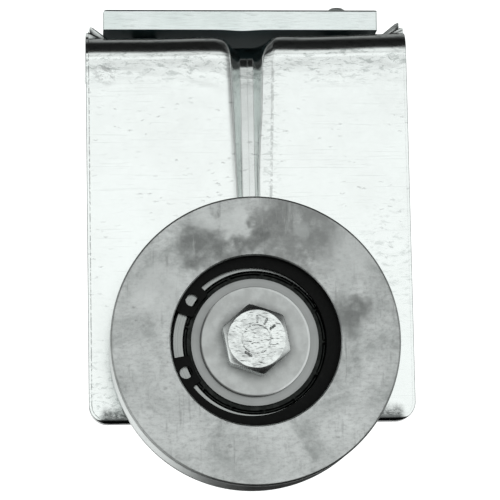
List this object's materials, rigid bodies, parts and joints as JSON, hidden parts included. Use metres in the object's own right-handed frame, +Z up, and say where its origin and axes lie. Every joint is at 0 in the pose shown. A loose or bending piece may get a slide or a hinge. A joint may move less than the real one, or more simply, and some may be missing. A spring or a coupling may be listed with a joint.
{
  "type": "sliding gate wheel",
  "caption": "Sliding-gate wheel unit: a V-groove steel wheel on a shielded ball bearing, bolted to a pressed L bracket with a clamp plate that grips a gate's bottom rail.",
  "frame": {"origin": "top face of the bracket's flange, midway between the two clamp bolts, where the gate's rail sits", "axes": "+Z up out of the flange's top face, +X to the right along the bracket as seen from the wheel's side, +Y from the wheel back under the gate, along the wheel's axle"},
  "size_m": [0.0694, 0.0728, 0.1093],
  "materials": {
    "zinc_plate": "bright zinc plate, lightly scratched",
    "wheel_steel": "machined steel, mottled and dull",
    "turned_steel": "turned, dull",
    "black_oxide": "black phosphate",
    "bearing_steel": "ground",
    "shield_steel": "pressed, dark",
    "cage_steel": "pressed",
    "ball_steel": "polished",
    "nylon": "moulded"
  },
  "bodies": {
    "bracket": {"bracket": "zinc_plate", "clamp_washer_left": "zinc_plate", "clamp_washer_right": "zinc_plate", "axle_bolt": "zinc_plate", "axle_washer_front": "zinc_plate", "axle_washer_rear": "zinc_plate", "axle_nut": "zinc_plate", "axle_nut_insert": "nylon", "axle_collar": "turned_steel", "rear_spacer": "turned_steel", "bearing_inner_ring": "bearing_steel"},
    "wheel": {"wheel_rim": "wheel_steel", "circlip": "black_oxide", "bearing_outer_ring": "bearing_steel", "bearing_shield_front": "shield_steel", "bearing_shield_rear": "shield_steel"},
    "bearing_cage": {"cage_front": "cage_steel", "cage_rear": "cage_steel", "ball_1": "ball_steel", "ball_2": "ball_steel", "ball_3": "ball_steel", "ball_4": "ball_steel", "ball_5": "ball_steel", "ball_6": "ball_steel", "ball_7": "ball_steel", "ball_8": "ball_steel", "cage_rivet_1": "cage_steel", "cage_rivet_2": "cage_steel", "cage_rivet_3": "cage_steel", "cage_rivet_4": "cage_steel", "cage_rivet_5": "cage_steel", "cage_rivet_6": "cage_steel", "cage_rivet_7": "cage_steel", "cage_rivet_8": "cage_steel"},
    "clamp_plate": {"clamp_plate": "zinc_plate"},
    "clamp_bolt_left": {"clamp_bolt_left": "zinc_plate"},
    "clamp_bolt_right": {"clamp_bolt_right": "zinc_plate"}
  },
  "joints": [
    {"name": "wheel_spin", "type": "hinge", "parent": "bracket", "child": "wheel", "pos_m": [-0.0004, -0.0284, -0.0691], "axis": [0, 1, 0], "continuous": true},
    {"name": "cage_spin", "type": "hinge", "parent": "bracket", "child": "bearing_cage", "pos_m": [-0.0004, -0.0284, -0.0691], "axis": [0, 1, 0], "continuous": true},
    {"name": "clamp_plate_travel", "type": "slide", "parent": "bracket", "child": "clamp_plate", "axis": [0, 0, 1], "range_m": [-0.0015, 0.002]},
    {"name": "clamp_bolt_left_turn", "type": "hinge", "parent": "bracket", "child": "clamp_bolt_left", "pos_m": [-0.0215, 0, 0], "axis": [0, 0, 1], "range_deg": [-721, 541]},
    {"name": "clamp_bolt_right_turn", "type": "hinge", "parent": "bracket", "child": "clamp_bolt_right", "pos_m": [0.0215, 0, 0], "axis": [0, 0, 1], "range_deg": [-721, 541]}
  ],
  "couplings": [
    {"joint": "cage_spin", "follows": "wheel_spin", "ratio": 0.61906},
    {"joint": "clamp_bolt_left_turn", "follows": "clamp_plate_travel", "rad_per_m": -6283.2},
    {"joint": "clamp_bolt_right_turn", "follows": "clamp_plate_travel", "rad_per_m": -6283.2}
  ]
}
